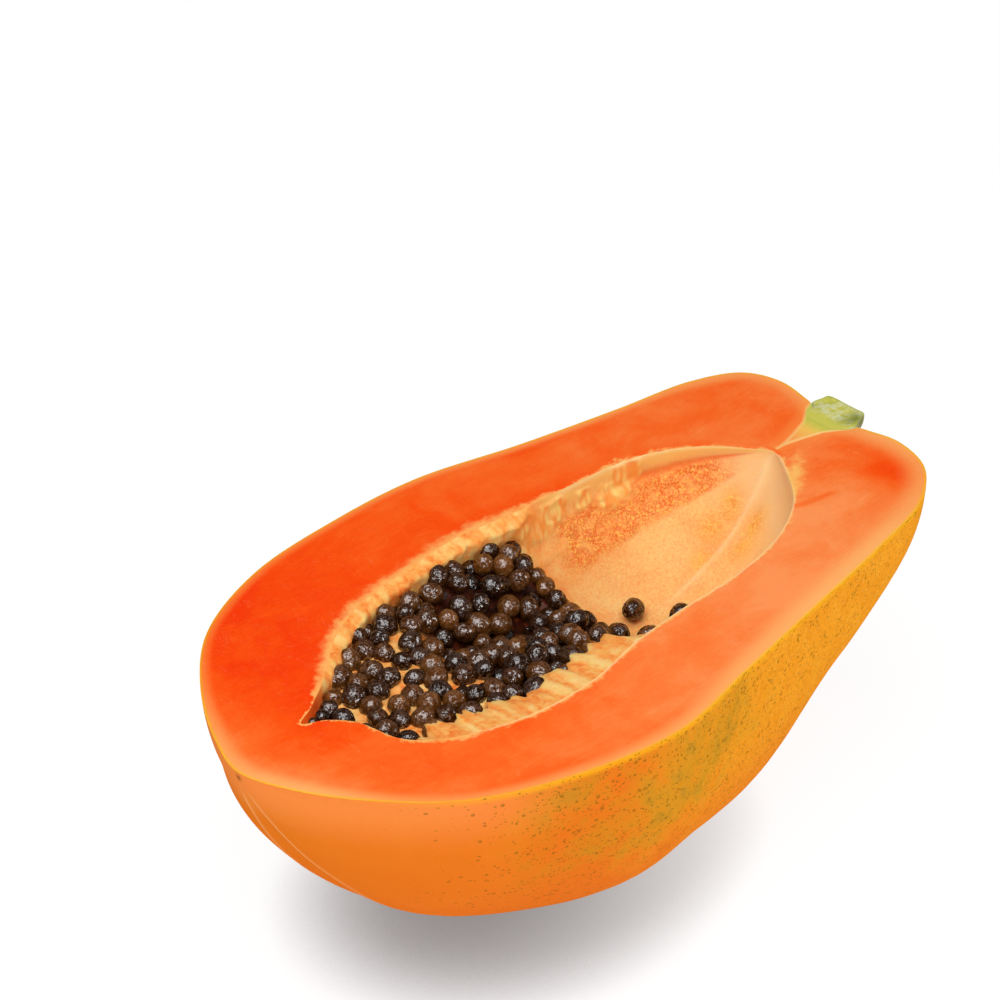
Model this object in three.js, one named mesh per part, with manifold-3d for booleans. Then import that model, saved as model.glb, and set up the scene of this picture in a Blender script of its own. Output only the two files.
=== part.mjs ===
// A ripe papaya cut in half lengthwise, lying on its rind with the cut face up.
// Millimetres, +Z up, +X from the blossom tip towards the stem, +Y across the cut face. The origin is
// on the surface that it rests on, under the middle of its outline.
//
// fruit         rind, flesh and the knobbly pulp that lines the seed cavity, which grew as one piece
// stem          the cut half of the stalk, whose pale root tapers into the flesh
// seeds         the heap of seeds left in the blossom half of the cavity, held together by its pulp
// loose_seed_N  single seeds on the bare cavity floor
import * as THREE from "three";
import { mergeVertices } from "three/addons/utils/BufferGeometryUtils.js";
import Module from "manifold-3d";

// ---- Driving dimensions -------------------------------------------------------------------------

// Outline of the fruit on the cut face: distance from the blossom tip, then y of the +Y and -Y edges.
const OUTLINE = [
  [0, 0.3, 0.3], [4.2, 13.8, -13.8], [14.5, 31.8, -30.8], [31, 49.2, -48], [56, 60, -59.8],
  [84, 62.6, -65.2], [112, 61.2, -60.2], [142, 52.8, -54.4], [171, 46, -48.8], [194, 41.2, -42.6],
  [206.6, 34, -32.4], [210.6, 23.5, -20], [209, 12, -10], [206, 1.4, 1.4],
];
// The rind is deeper under the cut face than half its width, most of all in the belly, and shallower
// towards the stem.
const DEPTH_RATIO = 1.145;
const BELLY_EXTRA = 0.165;
const BELLY_AT = 115;
const BELLY_REACH = 38;
const STEM_END_LESS = 0.47;
const STEM_END_SHALLOWS = [166, 213];
// Five lobes, with creases between them that are deepest at the blossom tip. Angles run round the
// fruit from the +Y edge of the cut face (0) down through the belly to the -Y edge (180 degrees).
const LOBES = 5;
const CREASE_ANGLE = THREE.MathUtils.degToRad(102);
const CREASE_SHARE = 0.012;
const TIP_CREASE_SHARE = 0.085;
const TIP_CREASE_REACH = 27;
// The lobe of the -Y side stands out most: by this share, at this distance and angle, and how far round.
const FULL_LOBE = 0.087;
const FULL_LOBE_AT = 135;
const FULL_LOBE_REACH = 21;
const FULL_LOBE_ANGLE = THREE.MathUtils.degToRad(135);
const FULL_LOBE_SPREAD = 0.6;
// How much is flattened off the lowest part of the belly by the fruit's own weight.
const REST_FLAT = 0.8;

// Outline of the seed cavity on the cut face, as for the fruit, and its depth for its half width.
const CAVITY_OUTLINE = [
  [22.8, 3.5, 3.5], [28, 6.3, 0.2], [32.6, 9.2, -6], [35.4, 11, -18], [41.5, 15.8, -25.2],
  [52, 24.2, -30.8], [66, 30.2, -34.8], [84, 32.4, -35.4], [101, 33.6, -32], [118, 31, -30.6],
  [138, 29.4, -30.3], [157, 26.9, -26.7], [172, 18.8, -18.4], [180.5, 8.6, -7.6], [184.5, 0.8, 0.8],
];
const CAVITY_DEPTH_RATIO = 1.15;
const CAVITY_STEM_DEPTH_RATIO = 0.98;
const CAVITY_SHALLOWS = [90, 160];

// Pulp standing out of the cavity wall: a knobbly ledge under the rim beside the seeds, thickest on
// the -Y side, and five strips of small knobs along the cavity where seeds were attached.
const LEDGE_FAR = 3.2;
const LEDGE_NEAR = 11;
const LEDGE_DEPTH_FAR = 1.8;
const LEDGE_DEPTH_NEAR = 3.2;
const LEDGE_START = 34;
const LEDGE_END_FAR = 128;
const LEDGE_END_NEAR = 110;
const LEDGE_FADE = 14;
const STRIP_PULP = 1.1;
const STRIP_SHARPNESS = 3;
const PULP_THINS_UNDER = 16;
const NARROWEST = 0.3;
// The knobs stand in rows that sway, and take this share of the ledge's width.
const KNOB_PITCH = 6.6;
const KNOB_SWAY = 1.7;
const KNOB_SWAY_RATE = 2.1;
const KNOB_SHARE = 0.35;

// Seeds, dropped at random over the heap: each comes to rest on top, or in a gap of a lower layer.
const SEED_LENGTH = 6.7;
const SEED_WIDTH = 5.8;
const SEED_SIZES = [0.88, 1.14];
const SEED_DRAW = 7;
const SEED_DRAWS = 1500;
const SEED_LIFT = 1.3;
const SEED_LAYERS = 3;
const LAYER_DROP = 3.4;
const SEED_ROOM = 0.9;
const SEED_SLIDES = 3;
const SLIDE_CLEARANCE = 1.02;
const SEED_TO_FAR_WALL = 1.2;
const SEED_TO_NEAR_WALL = 2.6;
// The top of the heap: level by the blossom end, sloping down towards its front, which bends round on
// the -Y side, and with a long hollow in the middle. It has more than one layer past DEEP_FROM.
const HEAP_TOP = -0.5;
const HEAP_START = 28;
const HEAP_END = 132;
const HEAP_HALF_WIDTH = 36;
const DEEP_FROM = 64;
const SLOPE = { from: 74, to: 118, drop: 7, farShare: 0.35, farFrom: 10, farTo: 26 };
const DENT = { x: 90, y: 5, along: 20, across: 9, depth: 10 };
const FRONT = { x: 117.5, slant: 0.05, bend: 0.03, length: 14, drop: 26 };
// The core of pulp and lower seeds that the top seeds stand out of.
const BED_BELOW = [4.2, 5.4];
const BED_DEEPENS = [62, 82];
const BED_TO_WALL = 1.2;
const BED_BASE = 60;
const BED_STEPS = [30, 16];
const BED_LEAST_SHOWING = 1;
// Single seeds on the cavity floor: distance from the blossom tip, and angle.
const LOOSE_SEEDS = [[136, 78], [127.5, 85], [131, 101], [141, 105]];

// Stalk: distance from the blossom tip, and radius.
const STEM_PROFILE = [
  [189, 0], [195, 1.7], [200.5, 3.6], [204.5, 6.4], [207.4, 8.6], [209.6, 8.2], [212, 7.6],
  [213.7, 7.7], [214.3, 6.6], [214.3, 0],
];
const STEM_Y = 1.6;

// Touching pieces keep this gap.
const GAP = 0.35;

const RIND_RINGS = 48;
const RIND_SIDES = 40;
const CAVITY_RINGS = 76;
const CAVITY_SIDES = 48;
const WALL_RINGS = 960;
const STEM_SIDES = 24;

// ---- Small tools --------------------------------------------------------------------------------

const wasm = await Module();
wasm.setup();

const { lerp, clamp, smoothstep, degToRad } = THREE.MathUtils;
const bell = (distance, reach) => Math.exp(-((distance / reach) ** 2));

// The same numbers in [0, 1) on every run.
function seededRandom(seed) {
  let state = seed >>> 0;
  return () => {
    state = (Math.imul(state, 1664525) + 1013904223) >>> 0;
    return state / 4294967296;
  };
}

// Rings at equal steps along a smooth curve through an outline: x, middle and half width. The curve
// meets the axis squarely at both ends.
function ringsOf(outline, count) {
  const rows = outline.map(([x, high, low]) => new THREE.Vector3(x, (high + low) / 2, (high - low) / 2));
  const mirrored = (row) => row.clone().multiply(new THREE.Vector3(1, 1, -1));
  const curve = new THREE.CatmullRomCurve3(
    [mirrored(rows[1]), ...rows, mirrored(rows.at(-2))], false, "centripetal");
  const start = 1 / (rows.length + 1);
  return Array.from({ length: count + 1 }, (_, i) => {
    const { x, y, z } = curve.getPoint(lerp(start, 1 - start, i / count));
    return { x, middle: y, halfWidth: i === 0 || i === count ? 0 : Math.max(z, 0) };
  });
}

function ringAt(rings, x) {
  const next = clamp(rings.findIndex((ring) => ring.x >= x), 1, rings.length - 1);
  const [a, b] = [rings[next - 1], rings[next]];
  const share = clamp((x - a.x) / (b.x - a.x), 0, 1);
  return { x, middle: lerp(a.middle, b.middle, share), halfWidth: lerp(a.halfWidth, b.halfWidth, share) };
}

// A closed surface round the rings, each of whose points is placed by shape(ring, angle).
function around(rings, sides, shape) {
  const column = rings.map(({ x, halfWidth }) => new THREE.Vector2(halfWidth, x));
  const geometry = new THREE.LatheGeometry(column, sides);
  const position = geometry.getAttribute("position");
  for (let n = 0; n < position.count; n++) {
    const side = Math.floor(n / rings.length) % sides;
    position.setXYZ(n, ...shape(rings[n % rings.length], (2 * Math.PI * side) / sides));
  }
  return solidOf(geometry);
}

function solidOf(geometry) {
  const bare = geometry.clone();
  bare.deleteAttribute("normal");
  bare.deleteAttribute("uv");
  const merged = mergeVertices(bare, 1e-4);
  const corners = Array.from(merged.index.array);
  const triangles = corners.filter((_, i) => {
    const [a, b, c] = corners.slice(i - (i % 3), i - (i % 3) + 3);
    return a !== b && b !== c && c !== a;
  });
  const solid = (triVerts) => new wasm.Manifold(new wasm.Mesh({
    numProp: 3,
    vertProperties: merged.getAttribute("position").array,
    triVerts: new Uint32Array(triVerts),
  }));
  const made = solid(triangles);
  return made.volume() < 0 ? solid(triangles.reverse()) : made;
}

function box(low, high) {
  const size = high.map((h, k) => h - low[k]);
  const middle = high.map((h, k) => (h + low[k]) / 2);
  return solidOf(new THREE.BoxGeometry(...size).translate(...middle));
}

function largestBody(solid) {
  return solid.decompose().reduce((a, b) => (b.volume() > a.volume() ? b : a));
}

function meshOf(name, solid, material) {
  const { vertProperties, triVerts, numProp } = solid.getMesh();
  const positions = new Float32Array((vertProperties.length / numProp) * 3);
  for (let i = 0; i < positions.length / 3; i++)
    positions.set(vertProperties.subarray(i * numProp, i * numProp + 3), i * 3);
  const geometry = new THREE.BufferGeometry()
    .setAttribute("position", new THREE.BufferAttribute(positions, 3))
    .setIndex(new THREE.BufferAttribute(triVerts, 1));
  geometry.computeVertexNormals();
  const mesh = new THREE.Mesh(geometry, material);
  mesh.name = name;
  return mesh;
}

// ---- Shape of the fruit and its cavity ----------------------------------------------------------

// The part over the cut face, which is cut away, mirrors the part under it.
const belowCut = (angle) => (angle > Math.PI ? 2 * Math.PI - angle : angle);

// 1 in a crease between two lobes, falling to 0 at the crown of a lobe.
const creased = (angle) => 1 - Math.abs(Math.sin((LOBES / 2) * (angle - CREASE_ANGLE)));

const depthRatio = (x) =>
  DEPTH_RATIO +
  BELLY_EXTRA * bell(x - BELLY_AT, BELLY_REACH) -
  STEM_END_LESS * smoothstep(x, ...STEM_END_SHALLOWS);

// By what share the fuller lobe stands out.
const fullness = (x, angle) =>
  FULL_LOBE *
  bell(x - FULL_LOBE_AT, FULL_LOBE_REACH) *
  bell(angle - FULL_LOBE_ANGLE, FULL_LOBE_SPREAD) *
  Math.sin(angle);

function rindPoint({ x, middle, halfWidth }, angle) {
  const below = belowCut(angle);
  const onCutFace = lerp(creased(0), creased(Math.PI), below / Math.PI);
  const share = CREASE_SHARE + TIP_CREASE_SHARE * bell(x, TIP_CREASE_REACH);
  const r = halfWidth * (1 - share * (creased(below) - onCutFace)) * (1 + fullness(x, below));
  return [x, middle + r * Math.cos(angle), -r * Math.sin(angle) * depthRatio(x)];
}

// 0 between the knobs of the pulp, rising to 1 on top of each.
function knobHeight({ x, halfWidth }, angle) {
  const across = (angle * halfWidth) / KNOB_PITCH;
  const along = (2 * Math.PI * x) / KNOB_PITCH + KNOB_SWAY * Math.sin(KNOB_SWAY_RATE * across);
  return 0.5 + 0.5 * Math.sin(along) * Math.cos(Math.PI * across);
}

// How far the pulp stands out of the cavity wall.
function pulpHeight(ring, angle) {
  const { x, halfWidth } = ring;
  const below = belowCut(angle);
  const knobs = knobHeight(ring, below);
  const nearSide = (1 - Math.cos(below)) / 2;
  const end = lerp(LEDGE_END_FAR, LEDGE_END_NEAR, nearSide);
  const starting = smoothstep(x, LEDGE_START, LEDGE_START + LEDGE_FADE);
  const ending = smoothstep(x, end - LEDGE_FADE, end);
  const depth = (Math.sin(below) * halfWidth) / lerp(LEDGE_DEPTH_FAR, LEDGE_DEPTH_NEAR, nearSide);
  const ledge = lerp(LEDGE_FAR, LEDGE_NEAR, nearSide) * (starting - ending) * depth * Math.exp(1 - depth);
  const strips = STRIP_PULP * creased(below) ** STRIP_SHARPNESS * Math.sin(below) * knobs;
  return (ledge * lerp(1, knobs, KNOB_SHARE) + strips) * Math.min(halfWidth / PULP_THINS_UNDER, 1);
}

const cavityDepthRatio = (x) =>
  lerp(CAVITY_DEPTH_RATIO, CAVITY_STEM_DEPTH_RATIO, smoothstep(x, ...CAVITY_SHALLOWS));

// A point of the cavity, inset from its wall, where the cavity is wide enough.
function cavityPoint(ring, angle, inset) {
  const { x, middle, halfWidth } = ring;
  const r = Math.max(halfWidth - pulpHeight(ring, angle) - inset, NARROWEST * halfWidth);
  return [x, middle + r * Math.cos(angle), -r * Math.sin(angle) * cavityDepthRatio(x)];
}

const wallRings = ringsOf(CAVITY_OUTLINE, WALL_RINGS);

function cavitySolid(inset, coarseness = 1) {
  const rings = ringsOf(CAVITY_OUTLINE, CAVITY_RINGS / coarseness);
  return around(rings, CAVITY_SIDES / coarseness, (ring, angle) => cavityPoint(ring, angle, inset));
}

// The stalk, with extra thickness on every side.
function stemSolid(extra) {
  const last = STEM_PROFILE.length - 1;
  const rings = STEM_PROFILE.map(([x, radius], i) => ({
    x: x + (i === 0 ? -extra : i >= last - 1 ? extra : 0),
    halfWidth: i === 0 || i === last ? 0 : radius + extra,
  }));
  return around(rings, STEM_SIDES, ({ x, halfWidth }, angle) =>
    [x, STEM_Y + halfWidth * Math.cos(angle), -halfWidth * Math.sin(angle)]);
}

// ---- Seeds --------------------------------------------------------------------------------------

function heapTop(x, y) {
  const front = FRONT.x + FRONT.slant * y - FRONT.bend * Math.min(y, 0) ** 2;
  const slope = SLOPE.drop * lerp(1, SLOPE.farShare, smoothstep(y, SLOPE.farFrom, SLOPE.farTo));
  return HEAP_TOP
    - slope * smoothstep(x, SLOPE.from, SLOPE.to)
    - DENT.depth * bell(Math.hypot((x - DENT.x) / DENT.along, (y - DENT.y) / DENT.across), 1)
    - FRONT.drop * smoothstep(x, front - FRONT.length / 2, front + FRONT.length / 2);
}

const bedTop = (x, y) => heapTop(x, y) - lerp(...BED_BELOW, smoothstep(x, ...BED_DEEPENS));

// How far a point is inside the cavity wall, measured along the spoke from the cavity's middle.
function insideWall(x, y, z) {
  const ring = ringAt(wallRings, x);
  const rise = -z / cavityDepthRatio(x);
  const angle = Math.atan2(rise, y - ring.middle);
  return ring.halfWidth - pulpHeight(ring, angle) - Math.hypot(y - ring.middle, rise);
}

// Of the seeds that a new one would cut into, the one it cuts into most, and the room between them.
function inTheWay(seeds, centre, size) {
  let found = null;
  let least = 1;
  for (const seed of seeds) {
    const room = (SEED_ROOM * SEED_WIDTH * (size + seed.size)) / 2;
    const share = centre.distanceTo(seed.centre) / room;
    if (share < least) {
      found = { centre: seed.centre, room };
      least = share;
    }
  }
  return found;
}

// Where a seed dropped at x and y comes to rest, sliding off those in its way.
function settled(seeds, x, y, drop, size) {
  for (let slide = 0; slide < SEED_SLIDES; slide++) {
    const at = new THREE.Vector3(x, y, heapTop(x, y) - (size * SEED_WIDTH) / 2 - drop);
    if (insideWall(...at) < (y > 0 ? SEED_TO_FAR_WALL : SEED_TO_NEAR_WALL)) return null;
    const other = inTheWay(seeds, at, size);
    if (!other) return at;
    const { centre, room } = other;
    const apart = Math.hypot(x - centre.x, y - centre.y);
    const wanted = SLIDE_CLEARANCE * Math.sqrt(Math.max(room ** 2 - (at.z - centre.z) ** 2, 0));
    x = centre.x + ((x - centre.x) * wanted) / apart;
    y = centre.y + ((y - centre.y) * wanted) / apart;
  }
  return null;
}

function heapSeeds() {
  const random = seededRandom(SEED_DRAW);
  const seeds = [];
  for (let draw = 0; draw < SEED_DRAWS; draw++) {
    const x = lerp(HEAP_START, HEAP_END, random());
    const y = HEAP_HALF_WIDTH * (2 * random() - 1);
    const lift = SEED_LIFT * random();
    const size = lerp(...SEED_SIZES, random());
    const spin = Math.PI * random();
    const tilt = Math.PI * random();
    const layers = x > DEEP_FROM ? SEED_LAYERS : 1;
    for (let layer = 0, centre = null; layer < layers && !centre; layer++) {
      centre = settled(seeds, x, y, lift + LAYER_DROP * layer, size);
      if (centre) seeds.push({ centre, size, spin, tilt });
    }
  }
  return seeds;
}

function seedSolid({ centre, size, spin, tilt }) {
  return solidOf(new THREE.IcosahedronGeometry(1.08 * size)
    .scale(SEED_LENGTH / 2, SEED_WIDTH / 2, SEED_WIDTH / 2)
    .rotateY(tilt)
    .rotateZ(spin)
    .translate(centre.x, centre.y, centre.z));
}

function heapBed() {
  const length = HEAP_END - HEAP_START;
  const geometry = new THREE.BoxGeometry(length, 2 * HEAP_HALF_WIDTH, BED_BASE, ...BED_STEPS, 1)
    .translate(HEAP_START + length / 2, 0, -BED_BASE / 2);
  const position = geometry.getAttribute("position");
  for (let n = 0; n < position.count; n++)
    if (position.getZ(n) > -BED_BASE / 2) position.setZ(n, bedTop(position.getX(n), position.getY(n)));
  return solidOf(geometry);
}

function heapSolid() {
  const bed = heapBed().intersect(cavitySolid(BED_TO_WALL, 2));
  const showing = heapSeeds().filter(({ centre, size }) =>
    centre.z + (size * SEED_WIDTH) / 2 > bedTop(centre.x, centre.y) + BED_LEAST_SHOWING);
  const lying = wasm.Manifold.union(showing.map(seedSolid));
  return largestBody(bed.add(lying).intersect(cavitySolid(GAP)).intersect(underCut));
}

function looseSeed([x, degrees], index) {
  const ring = ringAt(wallRings, x);
  const centre = new THREE.Vector3(...cavityPoint(ring, degToRad(degrees), SEED_WIDTH / 2));
  return seedSolid({ centre, size: 1, spin: 0.5 + index, tilt: 0.2 * index }).intersect(cavitySolid(GAP));
}

// ---- The papaya ---------------------------------------------------------------------------------

const fleshMaterial = new THREE.MeshStandardMaterial({ color: 0xf0702a, roughness: 0.45, metalness: 0 });
const stemMaterial = new THREE.MeshStandardMaterial({ color: 0xa8ad55, roughness: 0.6, metalness: 0 });
const seedMaterial = new THREE.MeshStandardMaterial({ color: 0x2a1710, roughness: 0.2, metalness: 0 });

const underCut = box([-50, -120, -200], [300, 120, 0]);
const half = around(ringsOf(OUTLINE, RIND_RINGS), RIND_SIDES, rindPoint).intersect(underCut);
const surface = half.boundingBox().min[2] + REST_FLAT;
const fruit = half
  .intersect(box([-50, -120, surface], [300, 120, 1]))
  .subtract(cavitySolid(0))
  .subtract(stemSolid(GAP));

const papaya = new THREE.Group();
papaya.add(meshOf("fruit", largestBody(fruit), fleshMaterial));
papaya.add(meshOf("stem", stemSolid(0).intersect(underCut), stemMaterial));
papaya.add(meshOf("seeds", heapSolid(), seedMaterial));
LOOSE_SEEDS.forEach((place, i) => {
  papaya.add(meshOf(`loose_seed_${i + 1}`, looseSeed(place, i), seedMaterial));
});

const bounds = new THREE.Box3().setFromObject(papaya);
papaya.position.set(-(bounds.min.x + bounds.max.x) / 2, -(bounds.min.y + bounds.max.y) / 2, -surface);

export default papaya;
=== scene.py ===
"""A ripe papaya cut in half lengthwise, lying on its rind with the cut face up.

The shapes are worked out in millimetres in the fruit's own frame: x from the blossom tip towards the
stalk, y across the cut face, z up from the cut face. place() turns them into metres in the shared frame.
Angles run round the fruit from the +Y edge of the cut face (0) down through the belly to the -Y edge.
"""
import math

import bmesh
import bpy
from mathutils import Matrix, Vector, kdtree, noise


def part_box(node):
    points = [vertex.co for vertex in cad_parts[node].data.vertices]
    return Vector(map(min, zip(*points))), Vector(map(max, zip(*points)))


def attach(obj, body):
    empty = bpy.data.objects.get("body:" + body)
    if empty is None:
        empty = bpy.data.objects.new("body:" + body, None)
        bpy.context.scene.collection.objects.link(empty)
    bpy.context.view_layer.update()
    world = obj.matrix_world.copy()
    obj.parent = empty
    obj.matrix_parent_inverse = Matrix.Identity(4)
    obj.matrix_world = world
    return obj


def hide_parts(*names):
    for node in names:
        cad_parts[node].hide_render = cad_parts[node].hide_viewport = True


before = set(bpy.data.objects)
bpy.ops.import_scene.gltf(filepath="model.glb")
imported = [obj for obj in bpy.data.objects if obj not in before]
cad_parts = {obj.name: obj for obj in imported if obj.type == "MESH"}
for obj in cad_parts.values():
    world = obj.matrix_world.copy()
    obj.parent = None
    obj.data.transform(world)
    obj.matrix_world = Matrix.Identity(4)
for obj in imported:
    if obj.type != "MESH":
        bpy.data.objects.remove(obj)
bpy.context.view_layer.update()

MM = 0.001
BODY = "root"

# ---- Driving dimensions, as the solids have them ------------------------------------------------

# Distance from the blossom tip, then y of the +Y and -Y edges.
OUTLINE = [
    (0, 0.3, 0.3), (4.2, 13.8, -13.8), (14.5, 31.8, -30.8), (31, 49.2, -48), (56, 60, -59.8),
    (84, 62.6, -65.2), (112, 61.2, -60.2), (142, 52.8, -54.4), (171, 46, -48.8), (194, 41.2, -42.6),
    (206.6, 34, -32.4), (210.6, 23.5, -20), (209, 12, -10), (206, 1.4, 1.4),
]
DEPTH_RATIO, BELLY_EXTRA, BELLY_AT, BELLY_REACH = 1.145, 0.165, 115, 38
STEM_END_LESS = 0.47
STEM_END_SHALLOWS = (166, 213)
LOBES = 5
CREASE_ANGLE = math.radians(102)
CREASE_SHARE = 0.012
TIP_CREASE_SHARE = 0.085
TIP_CREASE_REACH = 27
FULL_LOBE, FULL_LOBE_AT, FULL_LOBE_REACH = 0.087, 135, 21
FULL_LOBE_ANGLE, FULL_LOBE_SPREAD = math.radians(135), 0.6

CAVITY_OUTLINE = [
    (22.8, 3.5, 3.5), (28, 6.3, 0.2), (32.6, 9.2, -6), (35.4, 11, -18), (41.5, 15.8, -25.2),
    (52, 24.2, -30.8), (66, 30.2, -34.8), (84, 32.4, -35.4), (101, 33.6, -32), (118, 31, -30.6),
    (138, 29.4, -30.3), (157, 26.9, -26.7), (172, 18.8, -18.4), (180.5, 8.6, -7.6), (184.5, 0.8, 0.8),
]
CAVITY_DEPTH_RATIO = 1.15
CAVITY_STEM_DEPTH_RATIO = 0.98
CAVITY_SHALLOWS = (90, 160)

LEDGE_FAR = 3.2
LEDGE_NEAR = 11
LEDGE_DEPTH_FAR, LEDGE_DEPTH_NEAR = 1.8, 3.2
LEDGE_START = 34
LEDGE_END_FAR = 128
LEDGE_END_NEAR = 110
LEDGE_FADE = 14
STRIP_PULP = 1.1
STRIP_SHARPNESS = 3
PULP_THINS_UNDER = 16
NARROWEST = 0.3
KNOB_PITCH = 6.6
KNOB_SWAY = 1.7
KNOB_SWAY_RATE = 2.1
KNOB_SHARE = 0.35

SEED_LENGTH = 6.7
SEED_WIDTH = 5.8
SEED_SIZES = (0.88, 1.14)
SEED_DRAW = 7
SEED_DRAWS = 1500
SEED_LIFT = 1.3
SEED_LAYERS = 3
LAYER_DROP = 3.4
SEED_ROOM = 0.9
SEED_SLIDES = 3
SLIDE_CLEARANCE = 1.02
DEEP_FROM = 64
SEED_TO_FAR_WALL, SEED_TO_NEAR_WALL = 1.2, 2.6
HEAP_TOP = -0.5
HEAP_START, HEAP_END = 28, 132
BED_START = 25
HEAP_HALF_WIDTH = 36
SLOPE_FROM, SLOPE_TO, SLOPE_DROP, SLOPE_FAR_SHARE, SLOPE_FAR_SIDE = 74, 118, 7, 0.35, (10, 26)
DENT_X, DENT_Y, DENT_ALONG, DENT_ACROSS, DENT_DEPTH = 90, 5, 20, 9, 10
FRONT_X, FRONT_SLANT, FRONT_BEND, FRONT_LENGTH, FRONT_DROP = 117.5, 0.05, 0.03, 14, 26
LOOSE_SEEDS = [(136, 78), (127.5, 85), (131, 101), (141, 105)]
# Shrunken seeds in the narrow slit at the blossom end: x, y and size.
SLIT_SEEDS = [(26.2, 3.2, 0.42), (29.6, 3.8, 0.62), (33, 5.4, 0.8)]
SLIT_SEED_SPIN = 0.3

STEM_PROFILE = [
    (189, 0), (195, 1.7), (200.5, 3.6), (204.5, 6.4), (207.4, 8.6), (209.6, 8.2), (212, 7.6),
    (213.7, 7.7), (214.3, 6.6), (214.3, 0),
]
STEM_Y = 1.6

# How finely the pieces are drawn.
RINGS = 400
RIND_SIDES = 56
CAVITY_SIDES = 144
CUT_STEPS = 10
WALL_STEPS = 960
NEAREST_STEPS = 1200
FINE_STEPS = 12
# How far the stalk's cut stands over the flesh.
CUT_PROUD = 0.05


# ---- Small tools --------------------------------------------------------------------------------

KNOB_RADIUS = 0.72


def lerp(a, b, share):
    return a + (b - a) * share


def clamp(value, low=0.0, high=1.0):
    return max(low, min(high, value))


def smoothstep(value, low, high):
    share = clamp((value - low) / (high - low))
    return share * share * (3 - 2 * share)


def bell(distance, reach):
    return math.exp(-((distance / reach) ** 2))


def between(value, low, high, fade):
    """1 from low to high, fading to 0 over the fade outside them."""
    return smoothstep(value, low - fade, low) * (1 - smoothstep(value, high, high + fade))


def ripple(x, y, z=0.0):
    """Smooth noise, about -1 to 1."""
    return noise.noise(Vector((x, y, z)))


def knob(x, y, z=0.0):
    """Rounded knobs about one unit apart: 1 on top of each, 0 in the clefts between them."""
    nearest = noise.voronoi(Vector((x, y, z)))[0][0]
    return clamp(1 - (nearest / KNOB_RADIUS) ** 2)


def seeded_random(seed):
    """The same numbers from 0 to 1 on every run."""
    state = seed
    while True:
        state = (state * 1664525 + 1013904223) % 2**32
        yield state / 2**32


def curve_point(points, share):
    """A point of the centripetal Catmull-Rom curve through the points."""
    last = len(points) - 1
    at = share * last
    first = min(int(at), last - 1)
    local = at - first
    b, c = points[first], points[first + 1]
    a = points[first - 1] if first > 0 else 2 * points[0] - points[1]
    d = points[first + 2] if first + 2 <= last else 2 * points[last] - points[last - 1]
    before, here, after = ((q - p).length ** 0.5 for p, q in ((a, b), (b, c), (c, d)))
    leave = ((b - a) / before - (c - a) / (before + here) + (c - b) / here) * here
    arrive = ((c - b) / here - (d - b) / (here + after) + (d - c) / after) * here
    return (
        b
        + leave * local
        + (3 * (c - b) - 2 * leave - arrive) * local**2
        + (2 * (b - c) + leave + arrive) * local**3
    )


def outline_curve(outline, count):
    """Points of the smooth outline as (x, middle, half width), squarely on the axis at both ends."""
    rows = [Vector((x, (high + low) / 2, (high - low) / 2)) for x, high, low in outline]
    mirrored = [Vector((row.x, row.y, -row.z)) for row in (rows[1], rows[-2])]
    points = [mirrored[0], *rows, mirrored[1]]
    start = 1 / (len(rows) + 1)
    return [curve_point(points, lerp(start, 1 - start, i / count)) for i in range(count + 1)]


def rings_of(outline, count):
    """Rings at equal steps measured along the outline: (x, middle, half width)."""
    fine = outline_curve(outline, FINE_STEPS * count)
    run = [0.0]
    for a, b in zip(fine, fine[1:]):
        run.append(run[-1] + (b - a).length)
    rings, at = [], 0
    for i in range(count + 1):
        wanted = run[-1] * i / count
        while at < len(fine) - 2 and run[at + 1] < wanted:
            at += 1
        ring = fine[at].lerp(fine[at + 1], clamp((wanted - run[at]) / (run[at + 1] - run[at])))
        half_width = 0.0 if i in (0, count) else max(ring.z, 0.0)
        rings.append((ring.x, ring.y, half_width))
    return rings


RIND_RINGS = rings_of(OUTLINE, RINGS)
CAVITY_RINGS = rings_of(CAVITY_OUTLINE, RINGS)
WALL_RINGS = [tuple(ring) for ring in outline_curve(CAVITY_OUTLINE, WALL_STEPS)]

fruit_low, fruit_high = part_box("fruit")
ORIGIN = Vector((
    fruit_low.x,
    fruit_high.y - MM * max(middle + half_width for _, middle, half_width in RIND_RINGS),
    fruit_high.z,
))
FLOOR = fruit_low.z


def place(x, y, z):
    """A point of the fruit's frame, in millimetres, as a point of the shared frame, in metres."""
    return ORIGIN + MM * Vector((x, y, z))


def unplace(point):
    return (point - ORIGIN) / MM


def sort_parts(bm):
    """Edges and faces in the order of their corners, so that each run gives the same mesh."""
    bm.verts.index_update()

    def rank(part):
        corners = [vert.index for vert in part.verts]
        return min(corners) * len(bm.verts) + max(corners)

    bm.edges.sort(key=rank)
    bm.faces.sort(key=rank)


def in_scene(name, data):
    made = bpy.data.objects.new(name, data)
    bpy.context.scene.collection.objects.link(made)
    return made


def piece_of(name, bm, materials, replaced):
    """Makes the mesh an object that rides on the fruit's body and stands for its solids."""
    mesh = bpy.data.meshes.new(name)
    for face in bm.faces:
        face.smooth = True
    bm.to_mesh(mesh)
    bm.free()
    for material in materials:
        mesh.materials.append(material)
    piece = in_scene(name, mesh)
    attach(piece, BODY)
    if replaced:
        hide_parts(*replaced)
    return piece


# ---- Shape of the fruit and its cavity ----------------------------------------------------------

def creased(angle):
    """1 in a crease between two lobes, falling to 0 at the crown of a lobe."""
    return 1 - abs(math.sin(LOBES / 2 * (angle - CREASE_ANGLE)))


def depth_ratio(x):
    belly = BELLY_EXTRA * bell(x - BELLY_AT, BELLY_REACH)
    return DEPTH_RATIO + belly - STEM_END_LESS * smoothstep(x, *STEM_END_SHALLOWS)


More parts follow.
